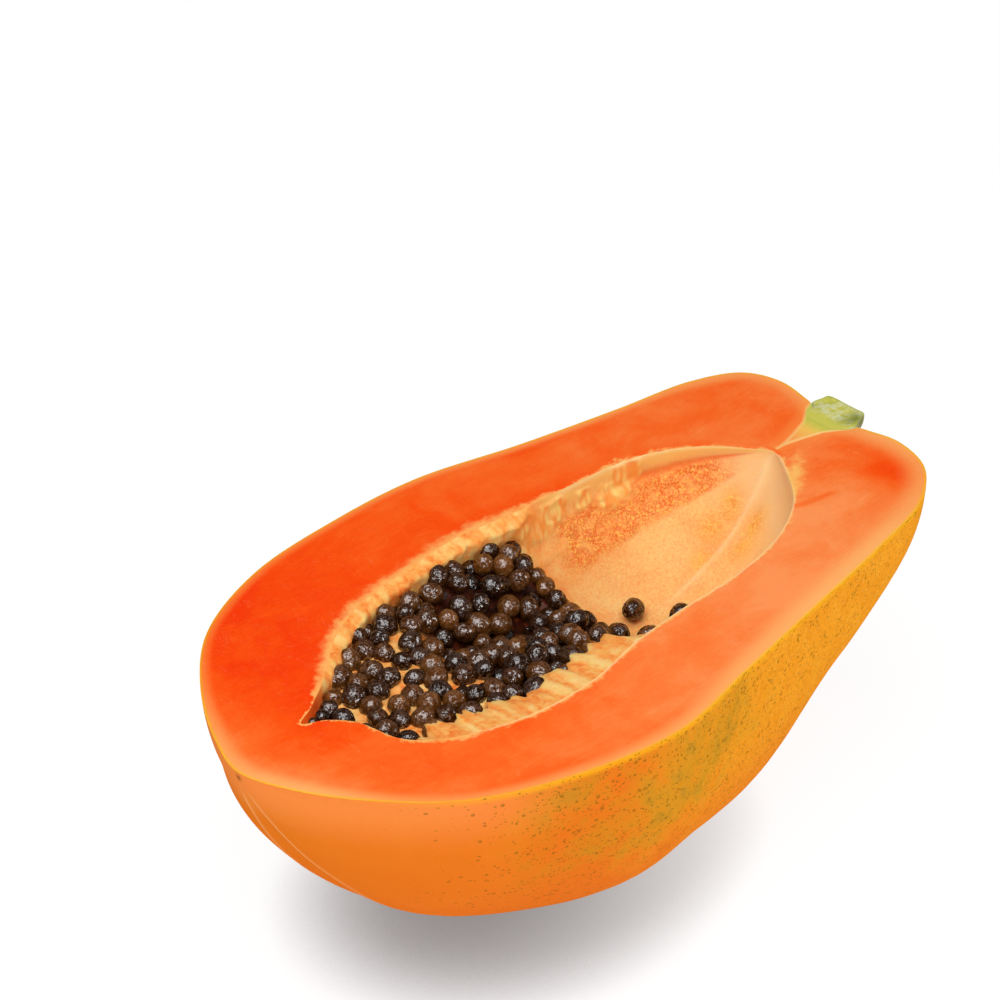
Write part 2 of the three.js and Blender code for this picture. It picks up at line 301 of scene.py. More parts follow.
def fullness(x, angle):
    """By what share the fuller lobe of the near side stands out."""
    round_it = bell(angle - FULL_LOBE_ANGLE, FULL_LOBE_SPREAD) * math.sin(angle)
    return FULL_LOBE * bell(x - FULL_LOBE_AT, FULL_LOBE_REACH) * round_it


def rind_point(ring, angle):
    x, middle, half_width = ring
    on_cut_face = lerp(creased(0), creased(math.pi), angle / math.pi)
    share = CREASE_SHARE + TIP_CREASE_SHARE * bell(x, TIP_CREASE_REACH)
    r = half_width * (1 - share * (creased(angle) - on_cut_face)) * (1 + fullness(x, angle))
    return Vector((x, middle + r * math.cos(angle), -r * math.sin(angle) * depth_ratio(x)))


def knob_height(x, half_width, angle):
    across = angle * half_width / KNOB_PITCH
    along = 2 * math.pi * x / KNOB_PITCH + KNOB_SWAY * math.sin(KNOB_SWAY_RATE * across)
    return 0.5 + 0.5 * math.sin(along) * math.cos(math.pi * across)


def near_share(angle):
    """0 at the far rim of the cavity, 1 at the near rim."""
    return (1 - math.cos(angle)) / 2


def ledge_height(x, half_width, angle):
    """How far the ledge of pulp beside the seeds stands out of the wall, without its knobs."""
    near_side = near_share(angle)
    end = lerp(LEDGE_END_FAR, LEDGE_END_NEAR, near_side)
    along = smoothstep(x, LEDGE_START, LEDGE_START + LEDGE_FADE) - smoothstep(x, end - LEDGE_FADE, end)
    depth = math.sin(angle) * half_width / lerp(LEDGE_DEPTH_FAR, LEDGE_DEPTH_NEAR, near_side)
    return lerp(LEDGE_FAR, LEDGE_NEAR, near_side) * along * depth * math.exp(1 - depth)


def pulp_height(x, half_width, angle):
    """How far the pulp of the solid stands out of the cavity wall."""
    knobs = knob_height(x, half_width, angle)
    strips = STRIP_PULP * creased(angle) ** STRIP_SHARPNESS * math.sin(angle) * knobs
    ledge = ledge_height(x, half_width, angle) * lerp(1, knobs, KNOB_SHARE)
    return (ledge + strips) * min(half_width / PULP_THINS_UNDER, 1)


def cavity_depth_ratio(x):
    return lerp(CAVITY_DEPTH_RATIO, CAVITY_STEM_DEPTH_RATIO, smoothstep(x, *CAVITY_SHALLOWS))


def cavity_point(ring, angle, pulp):
    x, middle, half_width = ring
    r = max(half_width - pulp, NARROWEST * half_width)
    return Vector((x, middle + r * math.cos(angle), -r * math.sin(angle) * cavity_depth_ratio(x)))


def ring_at(rings, x):
    for a, b in zip(rings, rings[1:]):
        if b[0] >= x:
            share = clamp((x - a[0]) / max(b[0] - a[0], 1e-9))
            return tuple(lerp(p, q, share) for p, q in zip(a, b))
    return rings[-1]


# ---- Node tools ---------------------------------------------------------------------------------

def rgb(red, green, blue):
    """A colour as a screen shows it (0 to 255), as the linear colour that a shader takes."""
    def linear(value):
        value /= 255
        return value / 12.92 if value <= 0.04045 else ((value + 0.055) / 1.055) ** 2.4
    return (linear(red), linear(green), linear(blue), 1.0)


class Shading:
    """A material's node tree, with short calls for the nodes that these finishes need."""

    def __init__(self, name):
        self.material = bpy.data.materials.new(name)
        self.material.use_nodes = True
        self.tree = self.material.node_tree
        self.shader = self.tree.nodes["Principled BSDF"]

    def feed(self, socket, value):
        if isinstance(value, bpy.types.NodeSocket):
            self.tree.links.new(value, socket)
        else:
            socket.default_value = value

    def node(self, kind, inputs=None, **settings):
        made = self.tree.nodes.new("ShaderNode" + kind)
        for name, value in settings.items():
            setattr(made, name, value)
        for name, value in (inputs or {}).items():
            self.feed(made.inputs[name], value)
        return made

    def object_place(self):
        return self.node("TexCoord").outputs["Object"]

    def split(self, vector):
        return self.node("SeparateXYZ", {"Vector": vector}).outputs

    def painted(self, name, output="Fac"):
        """What the mesh holds under this name at each of its vertices."""
        return self.node("Attribute", attribute_name=name).outputs[output]

    def stretched(self, vector, scale, turn=(0, 0, 0)):
        return self.node("Mapping", {"Vector": vector, "Scale": scale, "Rotation": turn}).outputs[0]

    def mottle(self, vector, scale, detail, roughness, distortion=0.0):
        inputs = {"Vector": vector, "Scale": scale, "Detail": detail, "Roughness": roughness,
                  "Distortion": distortion}
        return self.node("TexNoise", inputs).outputs[0]

    def cells(self, vector, scale):
        return self.node("TexVoronoi", {"Vector": vector, "Scale": scale}).outputs

    def maths(self, operation, a, b, limited=False):
        return self.node("Math", {0: a, 1: b}, operation=operation, use_clamp=limited).outputs[0]

    def plus(self, total, *more):
        for value in more:
            total = self.maths("ADD", total, value)
        return total

    def times(self, product, *more):
        for value in more:
            product = self.maths("MULTIPLY", product, value)
        return product

    def centred(self, value, gain):
        """A value around 0.5 made to swing about 0, as wide as the gain says."""
        return self.times(self.maths("SUBTRACT", value, 0.5), gain)

    def fade(self, value, low, high):
        """0 where value is low, 1 where it is high, and smooth between."""
        inputs = {"Value": value, "From Min": low, "From Max": high}
        return self.node("MapRange", inputs, interpolation_type="SMOOTHSTEP").outputs[0]

    def band(self, value, low, high, soft):
        """1 from low to high, fading to 0 over the soft stretch outside them."""
        return self.times(self.fade(value, low - soft, low), self.fade(value, high + soft, high))

    def mix(self, share, a, b):
        return self.node("Mix", {0: share, 6: a, 7: b}, data_type="RGBA").outputs[2]

    def layered(self, colour, *coats):
        """The colour under coats of others: the share that each covers, its strength and its colour."""
        for share, strength, other in coats:
            covered = share if strength == 1 else self.times(share, strength)
            colour = self.mix(covered, colour, other)
        return colour

    def ramp(self, value, stops):
        made = self.node("ValToRGB", {"Fac": value})
        elements = made.color_ramp.elements
        while len(elements) < len(stops):
            elements.new(0.5)
        for element, (position, colour) in zip(elements, stops):
            element.position = position
            element.color = colour
        return made.outputs[0]

    def bump(self, height, distance, strength):
        return self.node("Bump", {"Height": height, "Distance": distance, "Strength": strength}).outputs[0]

    def finish(self, **sockets):
        """Sets the shader's own sockets, named with _ for a space, and gives the material back."""
        for name, value in sockets.items():
            self.feed(self.shader.inputs[name.replace("_", " ")], value)
        return self.material


# ---- Finishes: distances in the shared frame, in metres ------------------------------------------

# Specks lie in slanting streaks, in cells of two sizes (cells to the metre).
SPECK_CELLS = (900, 1500)
SPECK_SLANT = (0, 0, 0.16)


def skin_finish():
    """Ripe rind: salmon orange, amber towards the stalk, olive and finely specked on the near side."""
    s = Shading("ripe_rind")
    here = s.object_place()
    x, y, z = s.split(here)
    depth = s.maths("SUBTRACT", ORIGIN.z, z)
    lie = s.painted("lie", "Vector")
    broad = s.mottle(lie, 34, 3, 0.55)
    mid = s.mottle(lie, 120, 4, 0.62, 0.4)
    fine = s.mottle(here, 520, 3, 0.65)

    salmon = s.mix(broad, rgb(230, 110, 26), rgb(242, 132, 38))
    amber = s.mix(mid, rgb(240, 142, 22), rgb(255, 180, 52))
    to_stem = s.plus(s.fade(x, -0.075, 0.03), s.centred(broad, 0.7), s.centred(mid, 0.5))
    # Painted shade: the rind is darker and less amber towards the bottom.
    shaded_low_down = s.fade(depth, 0.02, 0.06)
    riper = s.maths("SUBTRACT", s.fade(to_stem, 0.05, 0.8), s.times(shaded_low_down, 0.45), limited=True)
    # Painted sheen: paler pink near the rim at the blossom end, in place of gloss on the rind.
    blush_and_painted_light = s.times(s.fade(depth, 0.018, 0.002), s.fade(x, -0.045, -0.08))
    rim_glow = s.times(s.fade(depth, 0.0022, 0.0004), s.fade(x, -0.104, -0.05))
    near = s.fade(y, 0.0, -0.02)
    patch = s.times(s.band(x, -0.045, -0.005, 0.03), s.band(depth, 0.004, 0.026, 0.02), near)
    blotches = s.plus(s.times(broad, 0.5), s.times(mid, 0.5), s.times(patch, 0.1))
    olive = s.times(s.fade(blotches, 0.48, 0.68), patch)
    green = s.times(s.fade(mid, 0.5, 0.66), olive, s.fade(broad, 0.42, 0.6))

    streaks = s.mottle(s.stretched(lie, (50, 360, 1), SPECK_SLANT), 1, 4, 0.65)
    reach = s.times(s.fade(x, -0.098, -0.05), s.fade(depth, 0.062, 0.04), near)
    crowd = s.plus(s.centred(streaks, 3.0), s.times(patch, 0.25), 0.5)
    crowd = s.maths("MULTIPLY", crowd, reach, limited=True)
    specks = 0.0
    for scale in SPECK_CELLS:
        dots = s.cells(s.stretched(lie, (scale * 0.8, scale, 1), SPECK_SLANT), 1)
        drawn = s.split(dots["Color"])
        chosen = s.fade(s.maths("SUBTRACT", crowd, drawn[0]), 0.0, 0.12)
        size = s.plus(s.times(drawn[1], 0.22), 0.2)
        shape = s.plus(s.maths("SUBTRACT", size, dots["Distance"]), s.centred(fine, 0.7))
        specks = s.maths("MAXIMUM", specks, s.times(chosen, s.fade(shape, 0.0, 0.16)))
    worn = s.times(s.fade(s.mottle(here, 1100, 4, 0.7, 0.5), 0.46, 0.62), s.fade(x, -0.06, 0.02))
    pores = s.times(s.fade(s.cells(here, 900)["Distance"], 0.3, 0.12), s.fade(x, -0.06, 0.03))

    colour = s.layered(
        s.mix(riper, salmon, amber),
        (shaded_low_down, 0.4, rgb(230, 104, 40)),
        (blush_and_painted_light, 0.7, rgb(255, 148, 76)),
        (olive, 0.6, rgb(200, 144, 32)),
        (green, 0.3, rgb(142, 130, 44)),
        (rim_glow, 0.7, rgb(255, 182, 30)),
        (specks, 0.6, rgb(110, 88, 24)),
        (worn, 0.4, rgb(206, 120, 22)),
        (pores, 0.22, rgb(255, 210, 130)),
        (fine, 0.14, rgb(220, 96, 16)),
        # Painted highlight: pale peach along the raised welts.
        (s.painted("highlit_welt"), 1, rgb(252, 178, 112)),
        (s.painted("scar"), 1, rgb(40, 22, 12)),
    )
    return s.finish(
        Base_Color=colour, Roughness=0.42, Specular_IOR_Level=0.0,
        Subsurface_Weight=0.1, Subsurface_Radius=(1.0, 0.4, 0.15), Subsurface_Scale=0.002,
        Normal=s.bump(s.plus(s.times(fine, 0.5), s.times(specks, -0.5)), 0.00012, 0.5),
    )


# The flesh from its deepest to its palest.
FLESH_TONES = [
    (0.0, rgb(246, 58, 4)), (0.3, rgb(251, 82, 12)), (0.55, rgb(252, 104, 34)),
    (0.8, rgb(253, 127, 60)), (1.0, rgb(255, 146, 82)),
]


def flesh_finish():
    """Moist cut flesh: deep orange red, paler towards the skin, the stalk and the near side."""
    s = Shading("cut_flesh")
    here = s.object_place()
    x, y, _ = s.split(here)
    pale, rim = s.painted("paleness"), s.painted("from_skin")
    hollow, root = s.painted("from_cavity"), s.painted("from_root")
    blotch = s.mottle(here, 60, 4, 0.6, 0.6)
    cloud = s.mottle(s.stretched(here, (26, 70, 70)), 1, 3, 0.5, 0.5)
    fibre = s.mottle(s.stretched(here, (260, 1300, 300), (0, 0, 0.35)), 1, 4, 0.65, 0.8)
    grain = s.mottle(here, 1500, 3, 0.7)

    paleness = s.plus(pale, s.centred(blotch, 0.75), s.centred(cloud, 0.55), s.centred(fibre, 0.3))
    near_rim = s.fade(s.plus(s.painted("rim_band"), s.centred(blotch, 0.35)), 1.0, 0.1)
    ragged = s.plus(hollow, s.centred(s.mottle(here, 330, 4, 0.65), 6.0))
    halo = s.fade(s.plus(root, s.centred(blotch, 2.0)), 5.0, 0.5)
    wedge = s.fade(s.plus(root, s.centred(fibre, 0.8)), 0.4, -0.4)
    orange = s.mix(fibre, rgb(250, 128, 50), rgb(255, 172, 96))
    greener = s.mix(fibre, rgb(186, 180, 58), rgb(216, 206, 96))
    towards_stalk = s.mix(s.fade(x, 0.084, 0.0935), orange, rgb(244, 194, 90))
    edge_line = s.band(s.plus(root, s.centred(grain, 0.5)), -0.3, 0.3, 0.45)
    edge_strength = s.plus(s.times(s.fade(y, 0.005, 0.001), 0.35), 0.35)
    film = s.fade(s.plus(hollow, s.centred(s.mottle(here, 700, 2, 0.5), 0.9)), 0.75, 0.2)
    gold = s.plus(s.painted("gold"), s.centred(s.mottle(here, 420, 4, 0.65), 1.2))
    strokes = s.mottle(s.stretched(here, (160, 60, 60), (0, 0, -0.3)), 1, 2, 0.4, 3.0)

    colour = s.layered(
        s.ramp(paleness, FLESH_TONES),
        (near_rim, 0.95, s.mix(pale, rgb(251, 112, 34), rgb(254, 176, 102))),
        (s.fade(rim, 0.95, 0.35), 1, s.mix(pale, rgb(240, 132, 30), rgb(252, 186, 58))),
        (s.fade(rim, 0.3, 0.1), 1, rgb(244, 172, 48)),
        (s.fade(ragged, s.painted("pulp_reach"), 0.0), 1, rgb(253, 172, 92)),
        (halo, 0.45, rgb(254, 152, 72)),
        (wedge, 1, s.mix(s.fade(x, 0.0905, 0.0955), towards_stalk, greener)),
        (edge_line, edge_strength, rgb(255, 210, 134)),
        (s.times(film, s.painted("film")), 0.55, rgb(255, 214, 156)),
        (s.fade(gold, 0.2, 0.95), 0.9, rgb(255, 190, 100)),
        (s.band(strokes, 0.5, 0.5, 0.008), 0.1, rgb(255, 190, 140)),
    )
    wet = s.fade(s.mottle(here, 240, 3, 0.6), 0.45, 0.62)
    height = s.plus(s.times(grain, 0.45), s.times(fibre, 0.9))
    return s.finish(
        Base_Color=colour, Roughness=s.maths("SUBTRACT", 0.52, s.times(wet, 0.16)),
        Specular_IOR_Level=0.06,
        Subsurface_Weight=0.22, Subsurface_Radius=(1.0, 0.3, 0.1), Subsurface_Scale=0.003,
        Normal=s.bump(height, 0.00022, 0.55),
    )


# Chunks of pulp from their clefts to their tops: darker in the clefts as painted shade, paler on the tops
# as painted light.
LIT_AND_SHADED_CHUNK_TONES = [
    (0.3, rgb(244, 112, 38)), (0.48, rgb(253, 158, 76)),
    (0.7, rgb(255, 188, 106)), (1.0, rgb(255, 210, 134)),
]

def pulp_finish():
    """The lining of the cavity: smooth by the stalk, sugary bumps, and kernels beside the seeds."""
    s = Shading("cavity_pulp")
    here = s.object_place()
    x, _, z = s.split(here)
    lie = s.painted("lie", "Vector")
    sugar, grains, strands = (s.painted(name) for name in ("sugar", "grains", "strands"))
    grit = s.mottle(here, 1500, 3, 0.7)
    crumb = s.mottle(here, 1900, 3, 0.6, 0.4)

    def kernels(along, across, turn, unevenness):
        """Rounded kernels of uneven sizes: 1 on top of each, 0 in the clefts."""
        sway = s.node("TexNoise", {"Vector": here, "Scale": 240.0, "Detail": 2.0}).outputs[1]
        sway = s.node("VectorMath", {0: sway, 3: unevenness * MM}, operation="SCALE").outputs[0]
        bent = s.node("VectorMath", {0: lie, 1: sway}, operation="ADD").outputs[0]
        cells = s.cells(s.stretched(bent, (along, across, 1), (0, 0, turn)), 1)
        return s.fade(cells["Distance"], 0.75, 0.1)

    crumbled = s.mottle(here, 420, 4, 0.65, 0.8)
    chunks = s.plus(s.times(kernels(300, 210, 0.5, 4), 0.4), s.times(crumbled, 0.8))
    # Painted shade and light: the chunk colour follows their relief.
    raised = s.plus(chunks, s.times(s.painted("relief"), 0.12))
    # Dark specks in the sugary pulp, plus dark orange painted shade among the yellow granules.
    pit_and_shade_share = s.maths("MAXIMUM", sugar, s.times(grains, 0.55))
    cluster = s.fade(s.mottle(here, 210, 3, 0.6), 0.34, 0.56)
    pits_and_granule_shade = s.times(s.fade(crumb, 0.54, 0.46), pit_and_shade_share, cluster)
    crystals = s.times(s.fade(crumb, 0.54, 0.62), s.maths("MAXIMUM", sugar, grains))
    worms = kernels(560, 200, -0.55, 2)
    depth = s.maths("SUBTRACT", ORIGIN.z, z)
    # Painted shade: deeper red orange low in the cavity by the seeds.
    painted_shade_by_seeds = s.times(s.fade(depth, 0.009, 0.02), s.fade(x, 0.02, 0.004))

    colour = s.layered(
        s.mix(s.fade(s.mottle(here, 70, 4, 0.6, 0.5), 0.3, 0.7), rgb(252, 172, 98), rgb(255, 196, 122)),
        (s.fade(grit, 0.5, 0.66), 0.65, rgb(255, 212, 126)),
        (s.fade(grit, 0.47, 0.34), 0.55, rgb(248, 146, 70)),
        # Pale pink blush at the stem end, carried onto its shaded near wall as painted light.
        (s.painted("blush_and_painted_light"), 1, rgb(255, 202, 140)),
        (s.painted("knobby"), 1, s.ramp(raised, LIT_AND_SHADED_CHUNK_TONES)),
        (sugar, 0.5, rgb(248, 138, 60)),
        (grains, 0.5, rgb(253, 176, 66)),
        (pits_and_granule_shade, 0.8, rgb(234, 106, 36)),
        (crystals, 0.8, rgb(255, 206, 92)),
        # Strands darker orange in their clefts and paler on top: painted shade and light.
        (strands, 0.95, s.mix(worms, rgb(253, 156, 72), rgb(255, 208, 122))),
        (s.painted("lip"), 1, rgb(255, 196, 110)),
        # Painted shade: darker orange in the groove under the lip.
        (s.painted("shaded_groove"), 0.8, rgb(238, 116, 44)),
        # Pale cream membrane by the rims, and a painted highlight along the ridge.
        (s.painted("cream_and_highlight"), 1, rgb(255, 226, 176)),
        (painted_shade_by_seeds, 0.7, rgb(220, 92, 26)),
        (s.fade(x, -0.068, -0.077), 1, rgb(250, 96, 26)),
    )
    height = s.plus(
        s.times(crumb, 0.25), s.times(grit, 0.1),
        s.times(chunks, s.painted("knobby"), 0.55), s.times(worms, strands, 0.12),
    )
    return s.finish(
        Base_Color=colour, Roughness=0.42, Specular_IOR_Level=0.1,
        Subsurface_Weight=0.5, Subsurface_Radius=(1.0, 0.48, 0.2), Subsurface_Scale=0.004,
        Normal=s.bump(height, 0.0009, 0.6),
    )


SEED_TONES = [
    (0.0, rgb(16, 7, 2)), (0.4, rgb(58, 29, 9)), (0.75, rgb(102, 58, 19)), (1.0, rgb(136, 82, 32)),
]


def seed_finish():
    """Seeds in their thin clear jelly: mottled dark brown, wrinkled and glossy, each of its own tone."""
    s = Shading("wet_seed")
    here = s.object_place()
    wrinkle = s.mottle(here, 520, 2, 0.5, 0.8)
    net = s.mottle(here, 900, 3, 0.62, 1.2)
    jelly = s.plus(s.times(s.fade(net, 0.44, 0.52), 0.95), 0.05)
    return s.finish(
        Base_Color=s.ramp(s.plus(s.painted("tone"), s.centred(net, 1.3)), SEED_TONES),
        Roughness=0.6, Specular_IOR_Level=0.0,
        Coat_Weight=jelly, Coat_Roughness=0.06, Coat_IOR=2.1,
        Normal=s.bump(wrinkle, 0.0006, 0.6), Coat_Normal=s.bump(wrinkle, 0.0007, 0.7),
    )


BED_TONES = [
    (0.3, rgb(236, 118, 44)), (0.44, rgb(252, 160, 78)),
    (0.58, rgb(255, 192, 110)), (0.75, rgb(255, 216, 140)),
]
# Painted shade: the bed's near black tones in the deep hollow.
DEEP_SHADE_TONES = [(0.35, rgb(26, 10, 4)), (0.6, rgb(80, 30, 10)), (0.8, rgb(170, 70, 24))]


def bed_finish():
    """The pulp under the seeds: orange cream at the edges, near black in the deep hollow as painted shade
    among the seeds.
    """
    s = Shading("seed_bed_pulp")
    blotch = s.mottle(s.object_place(), 300, 4, 0.6, 0.5)
    deep_shade_share = s.fade(s.plus(s.painted("dark"), s.centred(blotch, 0.6)), 0.2, 0.75)
    return s.finish(
        Base_Color=s.mix(deep_shade_share, s.ramp(blotch, BED_TONES), s.ramp(blotch, DEEP_SHADE_TONES)),
        Roughness=0.4, Specular_IOR_Level=0.15, Coat_Weight=0.1, Coat_Roughness=0.15,
        Normal=s.bump(blotch, 0.0008, 0.6),
    )


def stalk_cut_finish():
    """The stalk's cut: yellow green with pale grey pith, darker by its skin and at one corner."""
    s = Shading("stalk_cut")
    here = s.object_place()
    x = s.split(here)[0]
    grain = s.mottle(s.stretched(here, (300, 700, 300)), 1, 4, 0.6, 0.3)
    pith = s.times(s.fade(s.mottle(here, 330, 3, 0.6, 0.6), 0.46, 0.6), s.fade(x, 0.0975, 0.1))
    colour = s.layered(
        s.mix(s.fade(grain, 0.35, 0.65), rgb(186, 184, 66), rgb(214, 206, 98)),
        (pith, 0.75, rgb(214, 212, 166)),
        (s.painted("shade"), 0.9, rgb(92, 106, 44)),
        (s.painted("edge"), 0.6, rgb(150, 162, 78)),
        (s.fade(x, 0.101, 0.0965), 1, rgb(204, 196, 82)),
    )
    return s.finish(Base_Color=colour, Roughness=0.6, Specular_IOR_Level=0.3,
                    Normal=s.bump(grain, 0.0002, 0.4))


STALK_SKIN_TONES = [
    (0.3, rgb(84, 84, 34)), (0.45, rgb(132, 140, 62)),
    (0.6, rgb(172, 160, 104)), (0.75, rgb(196, 150, 120)),
]


def stalk_skin_finish():
    """The stalk's green and brown skin."""
    s = Shading("stalk_skin")
    blotch = s.mottle(s.stretched(s.object_place(), (220, 420, 420)), 1, 4, 0.6, 0.4)
    return s.finish(Base_Color=s.ramp(blotch, STALK_SKIN_TONES), Roughness=0.6, Specular_IOR_Level=0.3,
                    Normal=s.bump(blotch, 0.0005, 0.6))


# ---- The papaya half ----------------------------------------------------------------------------

RIND, CUT, CAVITY = 0, 1, 2
FLOATS = [
    "from_skin", "rim_band", "from_cavity", "from_root", "pulp_reach", "paleness", "relief", "knobby",
    "sugar", "grains", "strands", "shaded_groove", "blush_and_painted_light", "cream_and_highlight", "lip", "highlit_welt", "scar", "gold", "film",
]
# Sharp raised welts beside the crease at the blossom end, painted pale as a painted highlight: angle, and
# how far along they reach.
WELTS = [(math.radians(86), 24), (math.radians(112), 30)]
WELT_WIDTH, WELT_HEIGHT = 0.55, 0.45
SCAR_AT, SCAR_REACH = Vector((0.6, 0.3, -1.6)), 0.8
DENT_SIZE, DENT_HEIGHT = 22, 0.35

# The cavity wall's own features. Along is x as (from, to, fade) and round is the same in degrees from
# the far rim. Heights and widths are in millimetres, or in degrees for what runs along the wall.
TEAR, SMALL_TEAR, FRAY = 0.2, 0.3, 0.16
BANK_HEIGHT, BANK_DEPTH, BANK_WIDTH, BANK_END, BANK_ROUND = 1.5, 6, 3.5, (112, 126), (60, 90)
# Where worm-like strands of pulp hang from the far wall: x, degrees round and reach.
STRAND_CLUMPS = [
    (155, 8.5, 4.5), (150.5, 17, 4.2), (141, 10, 2.8), (132, 8, 3.6), (121, 8, 4.4), (126, 14.5, 4),
]
STRAND_HEIGHT = 0.7
SUGAR_ALONG, SUGAR_ROUND, SUGAR_HEIGHT, SUGAR_PITCH = (134, 174, 7), (18, 40, 6), 0.6, 1.7
# Where yellow granules cluster on the bare cavity floor: x, y and reach.
GRANULE_SPOTS = [(174, 6.8, 3.0), (168, 8, 3.4), (173.5, -2.2, 3.2), (168.5, -3, 2.8), (160.5, 4.4, 2.8)]
GRANULE_PITCH = 1.6
LIP_ALONG, LIP_ROUND, LIP_WIDTH, LIP_HEIGHT = (132, 181, 6), 3, 6.5, 0.5
GROOVE_ALONG, GROOVE_ROUND, GROOVE_WIDTH, GROOVE_DEPTH = (150, 178, 6), 14.5, 3, 0.4
RIDGE_Y, RIDGE_WIDTH, RIDGE_HEIGHT = 2, 1.1, 1.4
BESIDE_RIDGE_Y, BESIDE_RIDGE_WIDTH, BESIDE_RIDGE_DEPTH = -0.6, 1.3, 0.6
STRIP_PITCH, STRIP_END = 2.8, (122, 146)
UNEVEN_SIZE, UNEVEN_HEIGHT = 4, 0.22
# Where the membrane runs, and where the bare stem end's near wall gets painted light.
MEMBRANE_ALONG, BARE_END_ALONG, BARE_END_ROUND = (136, 184, 5), (160, 184, 8), (90, 150)


def sheet(bm, rings, sides, angle_of, point_of):
    """A strip of surface: one column for each ring and one row for each step round."""
    made = bmesh.ops.create_grid(bm, x_segments=rings, y_segments=sides, size=0.5)["verts"]
    ends = []
    for vert in made:
        ring = round((vert.co.x + 0.5) * rings)
        if ring in (0, rings):
            ends.append(vert)
        point_of(vert, ring, angle_of(vert.co.y + 0.5))
    bmesh.ops.remove_doubles(bm, verts=ends, dist=MM * 0.01)


def rims_of(bm, known, rings):
    """The open edges that aren't known yet, as those of the far (+Y) rim and those of the near rim."""
    far, near = [], []
    for edge in bm.edges:
        if edge.is_boundary and edge not in known:
            x, y, _ = unplace((edge.verts[0].co + edge.verts[1].co) / 2)
            (far if y > ring_at(rings, x)[1] else near).append(edge)
    return far, near


def cavity_detail(x, middle, half_width, angle):
    """Pulp height at a point of the cavity wall in millimetres, and its colour shares by name."""
    degrees = math.degrees(angle)
    arc = angle * half_width
    y = middle + half_width * math.cos(angle)
    depth = math.sin(angle) * half_width
    thin = min(half_width / PULP_THINS_UNDER, 1)

    def knobs(pitch, layer):
        return knob(x / pitch, arc / pitch, layer)

    # The torn ledge beside the seeds, and the low bank under its far part.
    torn = 1 + TEAR * ripple(x / 8, 3.1) + SMALL_TEAR * ripple(x / 3.4, arc / 5, 7.7)
    torn += FRAY * ripple(x / 1.6, arc / 2.4, 1.9)
    ledge = ledge_height(x, half_width, angle) * thin
    across = arc + 1.1 * ledge * near_share(angle)
    lumps = 0.5 + 0.5 * ripple(x / 2.7, across / 4.5, 1.3)
    height = ledge * torn * lerp(0.9, 1.08, lumps)
    beside = smoothstep(x, LEDGE_START, LEDGE_START + LEDGE_FADE) * (1 - smoothstep(x, *BANK_END))
    beside *= 1 - smoothstep(degrees, *BANK_ROUND)
    bank = BANK_HEIGHT * beside * bell(depth - BANK_DEPTH, BANK_WIDTH)
    height += bank * (0.7 + 0.6 * lumps)

    clump = max(bell(math.hypot((x - cx) / 1.3, math.radians(degrees - cd) * half_width), reach)
                for cx, cd, reach in STRAND_CLUMPS)
    strands = smoothstep(clump + 0.35 * ripple(x / 3, arc / 3, 4.1), 0.3, 0.6)
    height += STRAND_HEIGHT * strands * (0.7 + 0.5 * ripple(x / 1.9, arc / 2.6, 5.1))

    sugar = between(x, *SUGAR_ALONG) * between(degrees, *SUGAR_ROUND)
    height += SUGAR_HEIGHT * sugar * knobs(SUGAR_PITCH, 2.2)
    granules = max(bell(math.hypot(x - sx, y - sy), reach) for sx, sy, reach in GRANULE_SPOTS)
    granules *= smoothstep(degrees, 40, 55)
    height += granules * knobs(GRANULE_PITCH, 5.5)

    lip = between(x, *LIP_ALONG) * bell(degrees - LIP_ROUND, LIP_WIDTH)
    # The groove under the lip is sunk, and painted darker orange as painted shade.
    shaded_groove = between(x, *GROOVE_ALONG) * bell(degrees - GROOVE_ROUND, GROOVE_WIDTH)
    height += thin * (LIP_HEIGHT * lip - GROOVE_DEPTH * shaded_groove)

    deep_enough = smoothstep(x, 140, 152) * smoothstep(degrees, 30, 60)
    ridge = bell(y - RIDGE_Y, RIDGE_WIDTH) * deep_enough
    beside_ridge = bell(y - BESIDE_RIDGE_Y, BESIDE_RIDGE_WIDTH) * deep_enough
    height += (RIDGE_HEIGHT * ridge - BESIDE_RIDGE_DEPTH * beside_ridge) * thin

    strips = STRIP_PULP * creased(angle) ** STRIP_SHARPNESS * math.sin(angle)
    height += strips * lerp(0.4, 1, knobs(STRIP_PITCH, 9.9)) * (1 - smoothstep(x, *STRIP_END)) * thin
    height += UNEVEN_HEIGHT * ripple(x / UNEVEN_SIZE, arc / UNEVEN_SIZE, 6.3) * clamp(depth / 3) * thin

    membrane = between(x, *MEMBRANE_ALONG) * (bell(degrees - 180, 9) + 0.6 * bell(degrees, 2))
    # The steep near wall at the bare stem end is painted pale pink to lift its shade: painted light.
    painted_light_at_stem_end = between(x, *BARE_END_ALONG) * smoothstep(degrees, *BARE_END_ROUND)
    return height, {
        "relief": lumps,
        "knobby": clamp(clamp(ledge / 2.2) + bank + (1 - smoothstep(x, 116, 134)) * (1 - 0.5 * strands)),
        "sugar": clamp(sugar) * (1 - strands),
        "grains": clamp(granules),
        "shaded_groove": shaded_groove * (1 - strands),
        "strands": strands,
        "blush_and_painted_light": clamp(smoothstep(x, 168, 180) * (1 - granules) * 0.9 + 0.8 * painted_light_at_stem_end),
        "lip": 0.9 * clamp(1.2 * lip) * (1 - strands),
        # Cream: the pale membrane by the rims, plus a painted highlight along the ridge.
        "cream_and_highlight": clamp(0.9 * membrane + 0.3 * ridge),
    }


